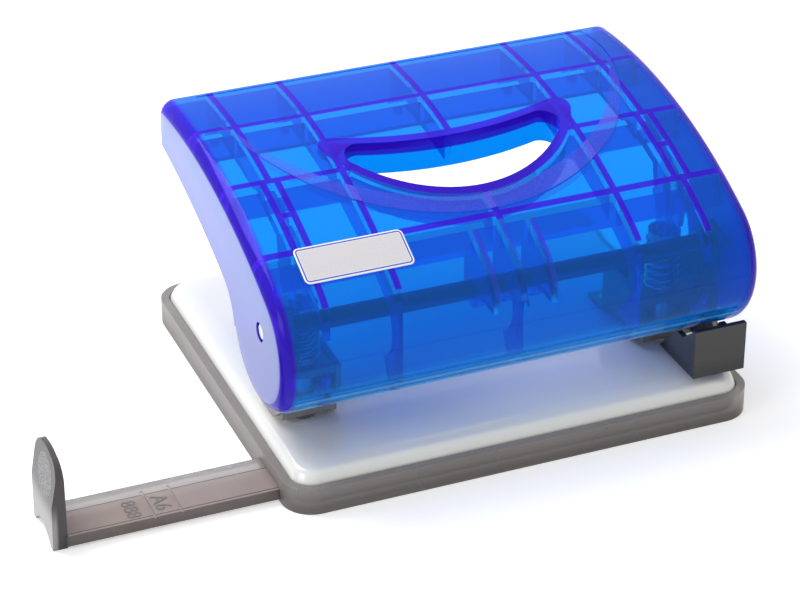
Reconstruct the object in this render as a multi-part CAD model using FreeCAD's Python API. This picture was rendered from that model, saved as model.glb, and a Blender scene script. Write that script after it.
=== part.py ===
# Two-hole desk punch: a steel punch frame on a plastic chip tray, a moulded lever
# hinged over both punches, a sliding paper guide and a push-in handle lock.
# Millimetres. Origin on the desk under the middle of the base, +Z up, +X along the
# lever's width, +Y from the hinge to the end of the lever that is pressed down.
# Shown at rest: lever up, guide pulled out, lock released.
import FreeCAD
import Part
import math
import os

os.makedirs("parts", exist_ok=True)

# What is punched
HOLE_SPACING = 80.0
HOLE_RADIUS = 2.75
PAPER_MARGIN = 12.0        # sheet's edge to the holes
PAPER_SLOT = 1.5           # height that the sheets pass through

# Base
BASE_WIDTH = 102.0
BASE_DEPTH = 88.0
TRAY_HEIGHT = 5.8
TRAY_CORNER = 6.5
TRAY_RIM = 1.8
TRAY_FLOOR = 1.2
SEAT_WIDTH = 1.6           # step in the tray's wall that the base plate stands on
SEAT_DROP = 1.2            # rim's top to that step
PLATE_THICKNESS = 1.2
PLATE_HEIGHT = 9.0         # desk to the plate's top
PLATE_WALL_RUN = 0.8       # inward run of the plate's steep edge
PLATE_BORDER = 3.2         # width of the gently sloping border inside it
PLATE_BORDER_DROP = 0.8    # flat top to the outside of that border
PLATE_CORNER = 7.0
PLATE_FIT = 0.2

# Hinge and lever
HINGE_SETBACK = 15.0       # front edge of the base to the hinge
HINGE_HEIGHT = 34.6
ROD_RADIUS = 2.0
LEVER_WIDTH = 103.0
LEVER_WALL = 2.0
LEVER_END_ROUND = 3.4
LEVER_HEEL_ROUND = 1.0     # the same edge where it ends at the heel
LEVER_TRAVEL = 25.0        # degrees
BARREL_RADIUS = 14.6
BARREL_AHEAD = 1.3         # barrel's centre behind the hinge
BARREL_BELOW = 3.1         # and below it
BARREL_LIP_ANGLE = 246.0   # where the skin ends under the barrel
BARREL_SOLE_ANGLE = 250.0  # where the end round starts to get smaller
BARREL_HEEL_ANGLE = 345.0  # where the cheeks leave the barrel
BARREL_TOP_ANGLE = 117.2   # where the lever's top leaves the barrel
TOP_RADIUS = 120.6
LEVER_REACH = 62.5         # hinge to the lever's rear face
LEVER_REAR_ROUND = 4.0
LEVER_REAR_DROP = 13.3     # rear edge of the cheeks above the hinge
RIB_THICKNESS = 1.5
RIB_DEPTH = 7.2            # skin's outside to the ribs' lower edge
CROSS_RIBS = [3.5, 22.3, 42.3]   # hinge to each rib along the width
LONG_RIB = 25.7            # middle of the lever to the ribs beside the middle one
LONG_RIB_START = 8.0       # ahead of the hinge
SIDE_RIB_SHIFT = 1.0       # side ribs outside the punches
PAIR_BRIDGE = 12.5         # hinge to the short rib that joins the two ribs of a pair
LOW_RIB_DEPTH = 4.0        # skin's outside to the lower edge of the ribs over the punches
LOW_RIB_START = 8.7        # ahead of the hinge
CLIP_RIB = 6.2             # middle of the lever to the outer clip ribs
CLIP_WALL = 1.8
DISH_DEPTH = 0.5
DISH_REAR_DEPTH = 0.1
RUNNING_FIT = 0.05

# Finger cut-out and dish, from the hinge
GRIP_HALF_WIDTH = 22.6
GRIP_FRONT = 11.6
GRIP_CORNER = 23.3
GRIP_REAR_SIDE = 29.3
GRIP_REAR_MIDDLE = 26.7
GRIP_WALL = 2.0
DISH_FRONT = 4.9
DISH_SIDE = 19.0
DISH_HALF_WIDTH = 33.1
DISH_REAR_HALF_WIDTH = 44.0

# Label
LABEL_WIDTH = 22.7
LABEL_LENGTH = 8.0
LABEL_LEFT = 43.1          # middle of the lever to the label's left edge
LABEL_FRONT = -3.9         # from the hinge
LABEL_THICKNESS = 0.35
LABEL_GAP = 0.02

# Punches
PUNCH_SETBACK = 23.4       # front edge of the base to the punches
PUNCH_REST = 2.0           # plate's top to the punch's tip
HEAD_RADIUS = 3.4
HEAD_THICKNESS = 1.6
NOSE_RADIUS = 2.0
NOSE_ARM = 8.5             # hinge to the centre of the lever's pressing nose
NOSE_GAP = 0.05
NOSE_OFFSET = 1.5          # each nose rib from the middle of its pair
GUIDE_LOWER_WEB = 2.4
GUIDE_UPPER_WEB = 1.6
GUIDE_HEIGHT = 10.0
GUIDE_WALL = 1.25
GUIDE_BACK_WALL = 2.4
CLIP_RADIUS = 3.5
CLIP_THICKNESS = 0.8
CLIP_GAP = 0.3
SPRING_WIRE = 0.7
SPRING_RADIUS = 3.5
SPRING_TURNS = 6.5
DIE_RADIUS = 5.0
DIE_LENGTH = 2.4
SEATED_GAP = 0.02          # between pieces that are pressed or fixed together

# Brackets
BRACKET_INNER = 11.6
BRACKET_SHEET = 1.2
BRACKET_EYE = 4.4
BRACKET_BACK_HEIGHT = 11.0
BRACKET_SHOULDER = 15.5
BRACKET_FOOT = 6.4
BRACKET_NOTCH = 3.0        # width of the notch in the lower outer corner at the back
BRACKET_NOTCH_DEPTH = 5.0
BRACKET_NOTCH_HEIGHT = 5.5
LIP_GAP = 0.3
RIVET_RADIUS = 1.2
RIVET_HEAD = 2.0
RIVET_PITCH = 5.6
RIVET_HEAD_HEIGHT = 1.1
WASHER_RADIUS = 3.6
WASHER_THICKNESS = 0.8

# Handle lock
LOCK_LEFT = 37.3
LOCK_WIDTH = 11.7
LOCK_SETBACK = 2.4         # front edge of the base to the catch's face
LOCK_SHEET = 1.2
LOCK_TRAVEL = 1.5
LOCK_ARM = 15.2            # face to the ends of the two arms
LOCK_LIP_GAP = 0.35
LOCK_SIDE_GAP = 0.15
LOCK_RIVET_RADIUS = 1.0
LOCK_RIVET_HEAD = 1.9
LOCK_RIVET_HEAD_HEIGHT = 0.6

# Paper guide
BAR_WIDTH = 12.2
BAR_THICKNESS = 2.3
BAR_LENGTH = 96.5
BAR_SETBACK = 7.0          # front edge of the base to the bar
BAR_LIFT = 0.7             # desk to the bar's underside
BAR_FIT = 0.1
BAR_PULLED_OUT = 2.5       # inner end of the bar from the middle, as shown
TUNNEL_WALL = 1.0
TUNNEL_ROOF = 1.3
TUNNEL_END = 46.7
NIB_LENGTH = 2.5
NIB_WIDTH = 2.6
NIB_HEIGHT = 0.9
GUIDE_OUT = 11.5           # how much further the guide comes out
TAB_THICKNESS = 3.0
TAB_TOP_THICKNESS = 1.1
TAB_BACK_LEAN = 0.4        # inner face's foot to its top, away from the base
TAB_HEIGHT = 20.4
TAB_WIDTH = 13.6           # at the desk
TAB_FRONT = 7.6            # front edge of the base to the tab's foot
TAB_LEAN = 1.9             # foot to shoulder, towards the front
TAB_REAR_LEAN = 1.2        # foot to shoulder of the rear edge, towards the front
TAB_SHOULDER = 16.4        # desk to where the rounded top starts
TAB_TOP_SAG = 0.4          # middle of the top above its ends
TAB_ARCH = 2.8             # height of the hollow under the foot
TAB_TOE = 1.4              # width of each foot beside that hollow
PAD_START = 10.5           # desk to where the outer face turns in for the thumb
MARK_DEPTH = 0.25
MARK_WIDTH = 0.5
MARKS = [17.5, 23.0, 46.0, 52.0]   # tab to each engraved line

FRONT = -BASE_DEPTH / 2
HINGE_Y = FRONT + HINGE_SETBACK
BARREL_Y = HINGE_Y + BARREL_AHEAD
BARREL_Z = HINGE_HEIGHT - BARREL_BELOW
PUNCH_Y = FRONT + PUNCH_SETBACK
PUNCH_X = HOLE_SPACING / 2
SEAT_Z = TRAY_HEIGHT - SEAT_DROP
SLOT_TOP = PLATE_HEIGHT + PAPER_SLOT
STOP_Y = PUNCH_Y + PAPER_MARGIN
GUIDE_TOP = SLOT_TOP + GUIDE_HEIGHT
LEVER_HALF = LEVER_WIDTH / 2
NOSE_HALF_TURN = math.radians(LEVER_TRAVEL / 2)
NOSE_Y = HINGE_Y + NOSE_ARM * math.cos(NOSE_HALF_TURN)
NOSE_Z = HINGE_HEIGHT + NOSE_ARM * math.sin(NOSE_HALF_TURN)
HEAD_TOP = NOSE_Z - NOSE_RADIUS - NOSE_GAP
HEAD_BOTTOM = HEAD_TOP - HEAD_THICKNESS
BRACKET_OUTER_HALF = BRACKET_INNER / 2 + BRACKET_SHEET
BAR_Y = FRONT + BAR_SETBACK
BAR_TOP = BAR_LIFT + BAR_THICKNESS
REACH = 200.0              # longer than the whole object, for cutting tools
LIP = math.radians(BARREL_LIP_ANGLE)
SOLE = math.radians(BARREL_SOLE_ANGLE)
HEEL = math.radians(BARREL_HEEL_ANGLE)
TOP = math.radians(BARREL_TOP_ANGLE)


def vec(x, y, z):
    return FreeCAD.Vector(x, y, z)


def box(x0, x1, y0, y1, z0, z1):
    """Box between two corners."""
    return Part.makeBox(x1 - x0, y1 - y0, z1 - z0, vec(x0, y0, z0))


def rod(radius, length, start, direction):
    return Part.makeCylinder(radius, length, start, direction)


def upright(radius, x, y, z0, z1):
    """Upright cylinder from z0 to z1."""
    return rod(radius, z1 - z0, vec(x, y, z0), vec(0, 0, 1))


def across(radius, x0, x1, y, z):
    """Cylinder along X from x0 to x1."""
    return rod(radius, x1 - x0, vec(x0, y, z), vec(1, 0, 0))


def profile(edges, x0, x1):
    """Closed outline in the YZ plane, drawn at X = 0, as a plate from x0 to x1."""
    face = Part.Face(Part.Wire(edges))
    face.translate(vec(x0, 0, 0))
    return face.extrude(vec(x1 - x0, 0, 0))


def polygon(points, x0, x1):
    """Plate from x0 to x1 with straight edges through (y, z) points."""
    corners = [vec(0, y, z) for y, z in points]
    return profile(Part.makePolygon(corners + corners[:1]).Edges, x0, x1)


def line(a, b):
    return Part.makeLine(a, b)


def arc(a, middle, b):
    return Part.Arc(a, middle, b).toShape()


def rounded_wire(width, depth, corner, z):
    """Rectangle with rounded corners, centred on the origin at height z."""
    x = width / 2
    y = depth / 2
    bow = corner * (1 - math.sqrt(0.5))
    edges = []
    for sx, sy in ((1, 1), (-1, 1), (-1, -1), (1, -1)):
        side = vec(sx * x, sy * (y - corner), z)
        end = vec(sx * (x - corner), sy * y, z)
        middle = vec(sx * (x - bow), sy * (y - bow), z)
        if sx * sy > 0:
            edges.append((side, middle, end))
        else:
            edges.append((end, middle, side))
    wire = []
    for i, (start, middle, end) in enumerate(edges):
        wire.append(arc(start, middle, end))
        wire.append(line(end, edges[(i + 1) % len(edges)][0]))
    return Part.Wire(wire)


def rounded_block(inset, z0, z1):
    """Block with the tray's plan, all its sides moved inwards by inset."""
    wire = rounded_wire(BASE_WIDTH - 2 * inset, BASE_DEPTH - 2 * inset, TRAY_CORNER - inset, z0)
    return Part.Face(wire).extrude(vec(0, 0, z1 - z0))


def save(shape, name):
    shape.exportStep("parts/" + name + ".step")


# ---------------------------------------------------------------- lever outline

def barrel_point(angle, inset=0.0):
    """Point of the barrel's circle, moved inwards by inset."""
    radius = BARREL_RADIUS - inset
    return vec(0, BARREL_Y + radius * math.cos(angle), BARREL_Z + radius * math.sin(angle))


def top_centre():
    """Centre of the arc of the lever's top, which the barrel's circle touches from inside."""
    spread = TOP_RADIUS - BARREL_RADIUS
    return BARREL_Y - spread * math.cos(TOP), BARREL_Z - spread * math.sin(TOP)


def skin_height(y):
    """Height of the lever's top at y."""
    top_y, top_z = top_centre()
    return top_z + math.sqrt(TOP_RADIUS ** 2 - (y - top_y) ** 2)


def skin_edges(inset, start_angle):
    """Lever's skin moved inwards by inset: barrel, top and rear round, in that order."""
    top_y, top_z = top_centre()
    radius = TOP_RADIUS - inset
    rear_y = HINGE_Y + LEVER_REACH - inset
    rear_round = max(LEVER_REAR_ROUND - inset, 0.3)
    round_y = rear_y - rear_round
    round_z = top_z + math.sqrt((radius - rear_round) ** 2 - (round_y - top_y) ** 2)
    rear_angle = math.atan2(round_z - top_z, round_y - top_y)

    def top_point(angle):
        return vec(0, top_y + radius * math.cos(angle), top_z + radius * math.sin(angle))

    bend = rear_angle / 2
    bend_middle = vec(0, round_y + rear_round * math.cos(bend), round_z + rear_round * math.sin(bend))
    bend_end = vec(0, rear_y, round_z)
    return [
        arc(barrel_point(start_angle, inset), barrel_point((start_angle + TOP) / 2, inset),
            barrel_point(TOP, inset)),
        arc(top_point(TOP), top_point((TOP + rear_angle) / 2), top_point(rear_angle)),
        arc(top_point(rear_angle), bend_middle, bend_end),
    ]


def below_skin(inset, half_width):
    """Everything under the skin moved inwards by inset, as a tool that is open below."""
    edges = skin_edges(inset, LIP)
    first = edges[0].valueAt(edges[0].FirstParameter)
    last = edges[-1].valueAt(edges[-1].LastParameter)
    out = vec(0, BARREL_Y + REACH * math.cos(LIP), BARREL_Z + REACH * math.sin(LIP))
    far = vec(0, last.y, out.z)
    edges += [line(last, far), line(far, out), line(out, first)]
    return profile(edges, -half_width, half_width)


def end_edges(block, hidden):
    """Edges of the block's two end faces, but those that lie on the hidden edges."""
    ends = []
    for edge in block.Edges:
        middle = edge.valueAt((edge.FirstParameter + edge.LastParameter) / 2)
        spot = Part.Vertex(vec(0, middle.y, middle.z))
        in_end_face = abs(abs(middle.x) - LEVER_HALF) < 1e-6
        if in_end_face and min(other.distToShape(spot)[0] for other in hidden) > 1e-6:
            ends.append(edge)
    return ends


def rounded_skin_block():
    """Block under the lever's skin, down to a slanted plane through the barrel's heel. Its end
    edges are rounded, and the round gets smaller from the sole of the barrel to the heel."""
    edges = skin_edges(0.0, SOLE)
    middle = vec(0, BARREL_Y, BARREL_Z)
    last = edges[-1].valueAt(edges[-1].LastParameter)
    low = vec(0, last.y, BARREL_Z + (last.y - BARREL_Y) * math.tan(HEEL))
    plane = line(low, middle)
    cut = line(middle, barrel_point(SOLE))
    block = profile(edges + [line(last, low), plane, cut], -LEVER_HALF, LEVER_HALF)
    block = block.makeFillet(LEVER_END_ROUND, end_edges(block, [plane, cut]))
    back = line(middle, barrel_point(HEEL))
    round_heel = arc(barrel_point(HEEL), barrel_point((HEEL + SOLE) / 2), barrel_point(SOLE))
    heel = profile([back, round_heel, cut], -LEVER_HALF, LEVER_HALF)
    heel = heel.makeFillet(LEVER_HEEL_ROUND, LEVER_END_ROUND, end_edges(heel, [back, cut]))
    return block.fuse(heel).removeSplitter()


def under_cheeks():
    """Tool below the lower edge of the cheeks, behind the barrel."""
    heel = barrel_point(HEEL)
    shoulder = vec(0, HINGE_Y + 21.0, HINGE_HEIGHT + 1.0)
    rear = vec(0, HINGE_Y + LEVER_REACH, HINGE_HEIGHT + LEVER_REAR_DROP)
    under = vec(0, (shoulder.y + rear.y) / 2, (shoulder.z + rear.z) / 2 + 1.4)
    throat = vec(0, (heel.y + shoulder.y) / 2 - 0.9, (heel.z + shoulder.z) / 2 + 0.9)
    beyond = vec(0, rear.y + REACH, rear.z)
    below = vec(0, beyond.y, -REACH)
    foot = vec(0, heel.y, -REACH)
    edges = [arc(heel, throat, shoulder), arc(shoulder, under, rear), line(rear, beyond),
             line(beyond, below), line(below, foot), line(foot, heel)]
    return profile(edges, -REACH, REACH)


def lever_block():
    """Lever as a full block between its skin and the lower edge of its cheeks."""
    return rounded_skin_block().cut(under_cheeks())


# ---------------------------------------------------------------- lever details

def grip_outline(wall):
    """Smile-shaped outline of the finger cut-out, grown outwards by wall."""
    half = GRIP_HALF_WIDTH
    front = vec(0, HINGE_Y + GRIP_FRONT - wall, 0)
    rear = vec(0, HINGE_Y + GRIP_REAR_MIDDLE + wall, 0)
    right_front = vec(half + 0.8 * wall, HINGE_Y + GRIP_CORNER - 0.6 * wall, 0)
    right_rear = vec(half - 2.6 + 0.4 * wall, HINGE_Y + GRIP_REAR_SIDE + 0.9 * wall, 0)
    right_end = vec(half + 0.8 + wall, (right_front.y + right_rear.y) / 2 + 0.3, 0)

    def mirrored(p):
        return vec(-p.x, p.y, p.z)

    return Part.Wire([
        arc(mirrored(right_front), front, right_front),
        arc(right_front, right_end, right_rear),
        arc(right_rear, rear, mirrored(right_rear)),
        arc(mirrored(right_rear), mirrored(right_end), mirrored(right_front)),
    ])


def grip_prism(wall):
    """Upright prism on the finger cut-out's outline."""
    return Part.Face(grip_outline(wall)).extrude(vec(0, 0, REACH))


def dish_prism():
    """Upright prism on the outline of the shallow dish round the finger cut-out."""
    front = vec(0, HINGE_Y + DISH_FRONT, 0)
    side = vec(DISH_HALF_WIDTH, HINGE_Y + DISH_SIDE, 0)
    knee = vec(DISH_REAR_HALF_WIDTH, HINGE_Y + LEVER_REACH - LEVER_REAR_ROUND, 0)
    bow = vec((side.x + knee.x) / 2 + 3.2, (side.y + knee.y) / 2 - 4.2, 0)

    def mirrored(p):
        return vec(-p.x, p.y, p.z)

    wire = Part.Wire([
        arc(mirrored(side), front, side),
        arc(side, bow, knee),
        line(knee, mirrored(knee)),
        arc(mirrored(knee), mirrored(bow), mirrored(side)),
    ])
    return Part.Face(wire).extrude(vec(0, 0, REACH))


def dish():
    """What the dish takes off the skin, deepest at its front edge."""
    floor = below_skin(DISH_DEPTH, REACH)
    rise = math.atan2(DISH_DEPTH - DISH_REAR_DEPTH, LEVER_REACH - DISH_FRONT)
    front = vec(0, HINGE_Y + DISH_FRONT, skin_height(HINGE_Y + DISH_FRONT))
    floor.rotate(front, vec(1, 0, 0), math.degrees(rise))
    return dish_prism().cut(floor)


def hang_ribs(plates, depth):
    """Fuses upright plates and trims them to ribs under the skin, depth deep from its outside."""
    inside = LEVER_HALF - LEVER_WALL / 2
    ribs = plates[0].multiFuse(plates[1:])
    ribs = ribs.common(below_skin(LEVER_WALL / 2, inside)).cut(below_skin(depth, REACH))
    return ribs.common(lever_block())


def lever_ribs():
    """Moulded ribs along and across the lever, and the wall round the finger cut-out."""
    half = RIB_THICKNESS / 2
    inside = LEVER_HALF - LEVER_WALL / 2
    plates = [grip_prism(GRIP_WALL)]
    for back in CROSS_RIBS:
        y = HINGE_Y + back
        plates.append(box(-inside, inside, y - half, y + half, 0, REACH))
    rear = HINGE_Y + LEVER_REACH
    for x in (-LONG_RIB, 0.0, LONG_RIB):
        plates.append(box(x - half, x + half, HINGE_Y - LONG_RIB_START, rear, 0, REACH))
    for x in (-PUNCH_X - SIDE_RIB_SHIFT, PUNCH_X + SIDE_RIB_SHIFT):
        plates.append(box(x - half, x + half, HINGE_Y + CROSS_RIBS[1], rear, 0, REACH))
    return hang_ribs(plates, RIB_DEPTH)


def punch_ribs():
    """Low ribs over the punches: each side rib forks into the pair that carries the noses, and
    goes on as one ahead of the first rib across."""
    half = RIB_THICKNESS / 2
    first = HINGE_Y + CROSS_RIBS[0]
    second = HINGE_Y + CROSS_RIBS[1]
    bridge = HINGE_Y + PAIR_BRIDGE
    plates = []
    for side in (-1, 1):
        middle = side * (PUNCH_X + SIDE_RIB_SHIFT)
        outer = NOSE_OFFSET + half
        plates.append(box(middle - half, middle + half, HINGE_Y - LOW_RIB_START, first, 0, REACH))
        plates.append(box(middle - outer, middle + outer, bridge - half, bridge + half, 0, REACH))
        for x in (middle - NOSE_OFFSET, middle + NOSE_OFFSET):
            plates.append(box(x - half, x + half, first, second, 0, REACH))
    return hang_ribs(plates, LOW_RIB_DEPTH)


def nose_ribs():
    """Two ribs over each punch that end in the round noses pressing on its head."""
    half = RIB_THICKNESS / 2
    noses = []
    middle = PUNCH_X + SIDE_RIB_SHIFT
    top = BARREL_Z + TOP_RADIUS
    for x in (-middle - NOSE_OFFSET, -middle + NOSE_OFFSET, middle - NOSE_OFFSET, middle + NOSE_OFFSET):
        blade = polygon([(NOSE_Y - NOSE_RADIUS, NOSE_Z), (NOSE_Y + NOSE_RADIUS, NOSE_Z),
                         (NOSE_Y + 4.0, HINGE_HEIGHT + 12.0), (NOSE_Y + 4.0, top),
                         (NOSE_Y - 4.0, top), (NOSE_Y - 4.0, HINGE_HEIGHT + 10.0)], x - half, x + half)
        noses.append(blade.fuse(across(NOSE_RADIUS, x - half, x + half, NOSE_Y, NOSE_Z)))
    return noses[0].multiFuse(noses[1:]).common(below_skin(LEVER_WALL / 2, LEVER_HALF))


def clip_ribs():
    """Three ribs in the middle of the barrel that ride on the hinge rod."""
    half = RIB_THICKNESS / 2
    ring = ROD_RADIUS + RUNNING_FIT + CLIP_WALL
    clips = []
    for x in (-CLIP_RIB, 0.0, CLIP_RIB):
        web = box(x - half, x + half, BARREL_Y - REACH, HINGE_Y + ring, HINGE_HEIGHT, REACH)
        clips.append(web.fuse(across(ring, x - half, x + half, HINGE_Y, HINGE_HEIGHT)))
    return clips[0].multiFuse(clips[1:]).common(below_skin(LEVER_WALL / 2, LEVER_HALF))


def lever_handle():
    """Moulded lever: skin, cheeks, ribs, noses, hinge holes, finger cut-out and dish."""
    lever = lever_block()
    lever = lever.cut(dish())
    lever = lever.cut(below_skin(LEVER_WALL, LEVER_HALF - LEVER_WALL))
    lever = lever.multiFuse([lever_ribs().cut(dish()), punch_ribs(), nose_ribs(), clip_ribs()])
    lever = lever.cut(grip_prism(0.0))
    hole = ROD_RADIUS + RUNNING_FIT
    lever = lever.cut(across(hole, -REACH, REACH, HINGE_Y, HINGE_HEIGHT))
    return lever.removeSplitter()


def label_plate():
    """Bare label on the lever's top, bent to the same curve."""
    left = -LABEL_LEFT
    front = HINGE_Y + LABEL_FRONT
    area = box(left, left + LABEL_WIDTH, front, front + LABEL_LENGTH, HINGE_HEIGHT, REACH)
    sheet = below_skin(-LABEL_GAP - LABEL_THICKNESS, REACH).cut(below_skin(-LABEL_GAP, REACH))
    return area.common(sheet)


# ---------------------------------------------------------------- base

def chip_tray():
    """Open tray with a seat for the base plate and a closed tunnel for the paper guide."""
    tray = rounded_block(0.0, 0.0, TRAY_HEIGHT)
    tray = tray.cut(rounded_block(TRAY_RIM, SEAT_Z, REACH))
    tray = tray.cut(rounded_block(TRAY_RIM + SEAT_WIDTH, TRAY_FLOOR, REACH))
    y0 = BAR_Y - BAR_FIT
    y1 = BAR_Y + BAR_WIDTH + BAR_FIT
    roof = BAR_TOP + BAR_FIT
    left = -BASE_WIDTH / 2
    tunnel = box(left + TRAY_RIM, TUNNEL_END, y0 - TUNNEL_WALL, y1 + TUNNEL_WALL, 0, roof + TUNNEL_ROOF)
    tray = tray.fuse(tunnel)
    end = TUNNEL_END - TUNNEL_WALL
    tray = tray.cut(box(left - 1, end, y0, y1, BAR_LIFT - BAR_FIT, roof))
    nib_y = BAR_Y + BAR_WIDTH / 2
    slot = NIB_WIDTH / 2 + BAR_FIT
    outer = BAR_PULLED_OUT - NIB_LENGTH - GUIDE_OUT - BAR_FIT
    tray = tray.cut(box(outer, end, nib_y - slot, nib_y + slot, BAR_LIFT, REACH))
    return tray.removeSplitter()


def base_plate():
    """Pressed steel plate: upright edge in the tray's rim, steep wall, gentle border, flat top."""
    edge = TRAY_RIM + PLATE_FIT

    def shell(inset, bottom, top):
        width = BASE_WIDTH - 2 * edge - 2 * inset
        depth = BASE_DEPTH - 2 * edge - 2 * inset
        corner = TRAY_CORNER - edge - inset
        run = PLATE_WALL_RUN
        border = run + PLATE_BORDER
        shoulder = TRAY_HEIGHT - inset / 2
        bend = top - PLATE_BORDER_DROP
        flange = rounded_wire(width, depth, corner, bottom)
        skirt = Part.Face(flange).extrude(vec(0, 0, shoulder - bottom))
        low = rounded_wire(width, depth, corner, shoulder)
        middle = rounded_wire(width - 2 * run, depth - 2 * run, corner + run, bend)
        high = rounded_wire(width - 2 * border, depth - 2 * border, PLATE_CORNER - inset, top)
        wall = Part.makeLoft([low, middle], True, True)
        return skirt.multiFuse([wall, Part.makeLoft([middle, high], True, True)])

    underside = PLATE_HEIGHT - PLATE_THICKNESS
    plate = shell(0.0, SEAT_Z, PLATE_HEIGHT)
    plate = plate.cut(shell(PLATE_THICKNESS, SEAT_Z - 1, underside))
    for side in (-1, 1):
        plate = plate.cut(upright(DIE_RADIUS + SEATED_GAP, side * PUNCH_X, PUNCH_Y, 0, REACH))
        for x in rivet_places(side):
            plate = plate.cut(upright(RIVET_RADIUS + SEATED_GAP, x, RIVET_Y, 0, REACH))
            plate = plate.cut(upright(RIVET_HEAD + SEATED_GAP, x, RIVET_Y, 0, underside))
    return plate.removeSplitter()


# ---------------------------------------------------------------- brackets

RIVET_Y = STOP_Y + BRACKET_SHEET + BRACKET_FOOT / 2


def rivet_places(side):
    """X of the two rivets in one bracket's foot."""
    outer = PUNCH_X + BRACKET_OUTER_HALF - BRACKET_NOTCH - RIVET_HEAD - 0.3
    return (side * outer, side * (outer - RIVET_PITCH))


def lip_corner(inset):
    return barrel_point(LIP, inset)


def bracket(side):
    """Folded steel bracket: outer cheek with the hinge eye, low inner cheek, back and foot.
    The lower outer corner is notched, so that the cheek can be folded beside the foot."""
    middle = side * PUNCH_X
    outer = BRACKET_OUTER_HALF
    front = lip_corner(LEVER_WALL).y + LIP_GAP
    back = STOP_Y + BRACKET_SHEET
    lip_z = lip_corner(0.0).z
    wall_top = SLOT_TOP + BRACKET_BACK_HEIGHT
    outside = sorted((middle + side * outer, middle + side * (outer - BRACKET_SHEET)))
    inside = sorted((middle - side * outer, middle - side * (outer - BRACKET_SHEET)))
    notch_top = SLOT_TOP + BRACKET_NOTCH_HEIGHT
    tall = polygon([(PUNCH_Y - 2.0, SLOT_TOP), (back - BRACKET_NOTCH_DEPTH, SLOT_TOP),
                    (back, notch_top), (back, wall_top),
                    (HINGE_Y + BRACKET_SHOULDER, HINGE_HEIGHT - 9.0),
                    (HINGE_Y + BRACKET_EYE, HINGE_HEIGHT + 1.0),
                    (HINGE_Y, HINGE_HEIGHT + BRACKET_EYE * 0.9),
                    (front, HINGE_HEIGHT), (front, lip_z + 0.3)], *outside)
    if side > 0:
        y, z = lock_rivet_place()
        toe = LOCK_RIVET_RADIUS + 2.0
        tall = tall.fuse(polygon([(y - toe, SLOT_TOP), (PUNCH_Y, SLOT_TOP), (PUNCH_Y, lip_z),
                                  (front, lip_z + 0.3), (y - toe, z + toe)], *outside))
    low = polygon([(PUNCH_Y - 2.0, SLOT_TOP), (back, SLOT_TOP), (back, wall_top),
                   (guide_front(), GUIDE_TOP), (guide_front(), SLOT_TOP + GUIDE_LOWER_WEB)], *inside)
    cheeks = [tall.fuse(across(BRACKET_EYE, *outside, HINGE_Y, HINGE_HEIGHT)), low]
    wall = box(middle - outer, middle + outer, STOP_Y, back, notch_top, wall_top)
    foot_x = sorted((middle + side * (outer - BRACKET_NOTCH), middle - side * outer))
    leg = box(*foot_x, STOP_Y, back, PLATE_HEIGHT, notch_top)
    foot = box(*foot_x, STOP_Y, back + BRACKET_FOOT, PLATE_HEIGHT, PLATE_HEIGHT + BRACKET_SHEET)
    shape = cheeks[0].multiFuse([cheeks[1], wall, leg, foot])
    shape = shape.cut(across(ROD_RADIUS + SEATED_GAP, -REACH, REACH, HINGE_Y, HINGE_HEIGHT))
    lug_z0, lug_z1, lug_y0, lug_y1 = guide_lug()
    gap = SEATED_GAP
    window = box(middle - outer, middle + outer, lug_y0 - gap, lug_y1 + gap, lug_z0 - gap, lug_z1 + gap)
    shape = shape.cut(window)
    for x in rivet_places(side):
        shape = shape.cut(upright(RIVET_RADIUS + SEATED_GAP, x, RIVET_Y, 0, SLOT_TOP + 1))
    if side > 0:
        y, z = lock_rivet_place()
        start = middle + outer - BRACKET_SHEET
        shape = shape.cut(across(LOCK_RIVET_RADIUS + SEATED_GAP, start, start + REACH, y, z))
    return shape.removeSplitter()


def bracket_rivets(side):
    """Two rivets through the bracket's foot and the base plate."""
    rivets = []
    low = PLATE_HEIGHT - PLATE_THICKNESS
    high = PLATE_HEIGHT + BRACKET_SHEET
    for x in rivet_places(side):
        shank = upright(RIVET_RADIUS, x, RIVET_Y, low - RIVET_HEAD_HEIGHT / 2, high + RIVET_HEAD_HEIGHT / 2)
        head = Part.makeCone(RIVET_HEAD, RIVET_HEAD * 0.55, RIVET_HEAD_HEIGHT, vec(x, RIVET_Y, high))
        tail = upright(RIVET_HEAD, x, RIVET_Y, low - RIVET_HEAD_HEIGHT, low)
        rivets.append(shank.multiFuse([head, tail]).removeSplitter())
    return Part.makeCompound(rivets)


# ---------------------------------------------------------------- punches

def guide_lug():
    """Height and depth of the lugs that hold a punch guide in its bracket."""
    back = PUNCH_Y + HOLE_RADIUS + RUNNING_FIT + GUIDE_WALL + GUIDE_BACK_WALL
    middle = SLOT_TOP + GUIDE_HEIGHT / 2
    return middle - 1.5, middle + 1.5, back - GUIDE_BACK_WALL, back


def guide_front():
    """Front face of the punch guides."""
    return PUNCH_Y - HOLE_RADIUS - RUNNING_FIT - GUIDE_WALL


def punch_guide(side):
    """C-shaped block with two bored webs, held between the bracket's cheeks by its lugs."""
    middle = side * PUNCH_X
    half = BRACKET_INNER / 2
    lug_z0, lug_z1, lug_y0, back = guide_lug()
    front = guide_front()
    block = box(middle - half, middle + half, front, back, SLOT_TOP, GUIDE_TOP)
    window = box(middle - half, middle + half, front, lug_y0,
                 SLOT_TOP + GUIDE_LOWER_WEB, GUIDE_TOP - GUIDE_UPPER_WEB)
    lugs = box(middle - BRACKET_OUTER_HALF, middle + BRACKET_OUTER_HALF, lug_y0, back, lug_z0, lug_z1)
    block = block.cut(window).fuse(lugs)
    return block.cut(upright(HOLE_RADIUS + RUNNING_FIT, middle, PUNCH_Y, 0, REACH)).removeSplitter()


def clip_top():
    """Upper face of the clip that stops a punch on its way up."""
    return GUIDE_TOP - GUIDE_UPPER_WEB - CLIP_GAP


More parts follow.
